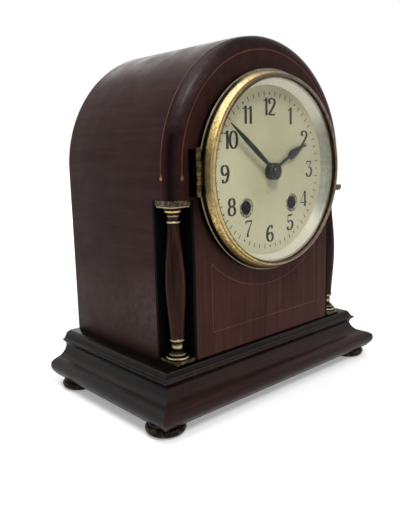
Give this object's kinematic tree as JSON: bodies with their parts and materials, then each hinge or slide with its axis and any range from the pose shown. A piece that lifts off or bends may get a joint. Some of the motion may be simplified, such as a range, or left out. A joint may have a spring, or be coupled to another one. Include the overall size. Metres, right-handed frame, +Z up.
{
  "type": "mantel clock",
  "caption": "Arched wooden mantel clock with corner columns, moulded plinth, bun feet, hinged glazed bezel, turning hands, pendulum and striking movement.",
  "frame": {"origin": "on the floor under the middle of the plinth", "axes": "+Z up, +X to the right seen from the front, the dial faces -Y"},
  "size_m": [0.231, 0.141, 0.255],
  "materials": {
    "mahogany_veneer": "satin french polish over horizontal grain",
    "mahogany_front": "satin french polish over vertical grain",
    "plain_mahogany": "dull stained wood",
    "ebonised_wood": "matt black stain",
    "boxwood_line": "flush inlay, polished over",
    "turned_mahogany": "glossy polish on turned wood",
    "dark_mahogany": "dark satin polish",
    "aged_brass": "polished brass with dark tarnish",
    "dark_brass": "dull, darkened brass",
    "dial_cream": "matt cream enamel",
    "silvered_metal": "dull silvering",
    "clear_glass": "clear",
    "blued_steel": "dark blued",
    "steel": "plain turned steel",
    "movement_brass": "brushed brass"
  },
  "bodies": {
    "case": {"case_shell": "mahogany_veneer", "front_panel": "mahogany_front", "back_panel": "plain_mahogany", "niche_linings": "ebonised_wood", "front_stringing": "boxwood_line", "side_stringing": "boxwood_line", "column_shafts": "turned_mahogany", "column_capitals": "aged_brass", "column_bases": "aged_brass", "plinth_board": "dark_mahogany", "plinth_front_moulding": "dark_mahogany", "plinth_side_mouldings": "dark_mahogany", "plinth_back_rail": "plain_mahogany", "bun_feet": "dark_brass", "foot_screws": "steel", "door_hinge_fixed": "aged_brass", "dial_plate": "dial_cream", "dial_pan": "movement_brass", "winding_eyelets": "silvered_metal", "bezel_hinge": "aged_brass", "front_plate": "movement_brass", "back_plate": "movement_brass", "plate_pillars": "movement_brass", "movement_screws": "steel", "gong": "blued_steel", "suspension_cock": "movement_brass"},
    "bezel": {"bezel_ring": "aged_brass", "bezel_glass": "clear_glass", "sight_ring": "silvered_metal", "bezel_catch": "aged_brass"},
    "door": {"back_door": "plain_mahogany", "door_knob": "aged_brass", "door_hinge_moving": "aged_brass"},
    "centre": {"centre_wheel": "movement_brass", "cannon_pinion": "steel", "minute_hand": "blued_steel", "hand_nut": "blued_steel"},
    "hour": {"hour_wheel": "movement_brass", "hour_hand": "blued_steel"},
    "motion": {"minute_wheel": "movement_brass"},
    "time_intermediate": {"time_intermediate_wheel": "movement_brass"},
    "time_barrel": {"time_barrel": "movement_brass", "time_mainspring": "blued_steel"},
    "third": {"third_wheel": "movement_brass"},
    "escape": {"escape_wheel": "movement_brass"},
    "time_winder": {"time_winding_arbor": "steel"},
    "time_click": {"time_click": "steel"},
    "strike_barrel": {"strike_barrel": "movement_brass", "strike_mainspring": "blued_steel"},
    "strike_winder": {"strike_winding_arbor": "steel"},
    "strike_click": {"strike_click": "steel"},
    "strike_intermediate": {"strike_intermediate_wheel": "movement_brass"},
    "pin": {"pin_wheel": "movement_brass"},
    "warning": {"warning_wheel": "movement_brass"},
    "fly": {"fly": "movement_brass"},
    "hammer": {"strike_hammer": "steel"},
    "anchor": {"pallet_anchor": "steel"},
    "pendulum": {"pendulum_rod": "steel", "pendulum_bob": "movement_brass"},
    "nut": {"rating_nut": "movement_brass"}
  },
  "joints": [
    {"name": "bezel_open", "type": "hinge", "parent": "case", "child": "bezel", "pos_m": [-0.0722, -0.0594, 0.164], "axis": [0, 0, -1], "range_deg": [0, 110]},
    {"name": "back_door_open", "type": "hinge", "parent": "case", "child": "door", "pos_m": [0.0517, 0.0635, 0.12], "axis": [0, 0, -1], "range_deg": [0, 110]},
    {"name": "minute_hand_turn", "type": "hinge", "parent": "case", "child": "centre", "pos_m": [0, -0.0215, 0.162], "axis": [0, 1, 0], "continuous": true},
    {"name": "hour_hand_turn", "type": "hinge", "parent": "case", "child": "hour", "pos_m": [0, -0.0525, 0.162], "axis": [0, 1, 0], "continuous": true},
    {"name": "minute_wheel_turn", "type": "hinge", "parent": "case", "child": "motion", "pos_m": [0, -0.0385, 0.174], "axis": [0, 1, 0], "continuous": true},
    {"name": "time_intermediate_turn", "type": "hinge", "parent": "case", "child": "time_intermediate", "pos_m": [0.02, -0.0215, 0.16237], "axis": [0, 1, 0], "continuous": true},
    {"name": "time_barrel_turn", "type": "hinge", "parent": "case", "child": "time_barrel", "pos_m": [0.0243, -0.0215, 0.138], "axis": [0, 1, 0], "continuous": true},
    {"name": "third_wheel_turn", "type": "hinge", "parent": "case", "child": "third", "pos_m": [0.00817, -0.0215, 0.17976], "axis": [0, 1, 0], "continuous": true},
    {"name": "escape_wheel_turn", "type": "hinge", "parent": "case", "child": "escape", "pos_m": [0, -0.0215, 0.195], "axis": [0, 1, 0], "continuous": true},
    {"name": "time_winding", "type": "hinge", "parent": "case", "child": "time_winder", "pos_m": [0.0243, -0.0215, 0.138], "axis": [0, 1, 0], "continuous": true},
    {"name": "time_click_lift", "type": "hinge", "parent": "case", "child": "time_click", "pos_m": [0.03005, -0.0385, 0.12804], "axis": [0, -1, 0], "range_deg": [0, 12]},
    {"name": "pin_wheel_turn", "type": "hinge", "parent": "case", "child": "pin", "pos_m": [-0.02347, -0.0215, 0.18207], "axis": [0, 1, 0], "continuous": true},
    {"name": "strike_intermediate_turn", "type": "hinge", "parent": "case", "child": "strike_intermediate", "pos_m": [-0.02, -0.0215, 0.16237], "axis": [0, 1, 0], "continuous": true},
    {"name": "strike_barrel_turn", "type": "hinge", "parent": "case", "child": "strike_barrel", "pos_m": [-0.0243, -0.0215, 0.138], "axis": [0, 1, 0], "continuous": true},
    {"name": "warning_wheel_turn", "type": "hinge", "parent": "case", "child": "warning", "pos_m": [-0.01582, -0.0215, 0.19532], "axis": [0, 1, 0], "continuous": true},
    {"name": "fly_turn", "type": "hinge", "parent": "case", "child": "fly", "pos_m": [-0.02183, -0.0215, 0.20573], "axis": [0, 1, 0], "continuous": true},
    {"name": "strike_winding", "type": "hinge", "parent": "case", "child": "strike_winder", "pos_m": [-0.0243, -0.0215, 0.138], "axis": [0, 1, 0], "continuous": true},
    {"name": "strike_click_lift", "type": "hinge", "parent": "case", "child": "strike_click", "pos_m": [-0.03005, -0.0385, 0.12804], "axis": [0, 1, 0], "range_deg": [0, 12]},
    {"name": "hammer_lift", "type": "hinge", "parent": "case", "child": "hammer", "pos_m": [-0.0441, -0.0215, 0.174], "axis": [0, 1, 0], "range_deg": [0, 15]},
    {"name": "pendulum_swing", "type": "hinge", "parent": "case", "child": "pendulum", "pos_m": [0, 0.0035, 0.2105], "axis": [0, 1, 0], "range_deg": [-4, 4]},
    {"name": "anchor_rock", "type": "hinge", "parent": "case", "child": "anchor", "pos_m": [0, -0.0215, 0.2105], "axis": [0, 1, 0], "range_deg": [-4, 4]},
    {"name": "rating_nut_turn", "type": "hinge", "parent": "pendulum", "child": "nut", "pos_m": [0, 0.0035, 0.0647], "axis": [0, 0, 1], "continuous": true}
  ],
  "couplings": [
    {"joint": "hour_hand_turn", "follows": "minute_hand_turn", "ratio": 0.083333},
    {"joint": "minute_wheel_turn", "follows": "minute_hand_turn", "ratio": -0.33333},
    {"joint": "time_intermediate_turn", "follows": "minute_hand_turn", "ratio": -0.14286},
    {"joint": "time_barrel_turn", "follows": "minute_hand_turn", "ratio": 0.017857},
    {"joint": "third_wheel_turn", "follows": "minute_hand_turn", "ratio": -12},
    {"joint": "escape_wheel_turn", "follows": "minute_hand_turn", "ratio": 126},
    {"joint": "strike_intermediate_turn", "follows": "pin_wheel_turn", "ratio": -0.14286},
    {"joint": "strike_barrel_turn", "follows": "pin_wheel_turn", "ratio": 0.017857},
    {"joint": "warning_wheel_turn", "follows": "pin_wheel_turn", "ratio": -7.5},
    {"joint": "fly_turn", "follows": "pin_wheel_turn", "ratio": 52.5},
    {"joint": "anchor_rock", "follows": "pendulum_swing", "ratio": 1}
  ]
}
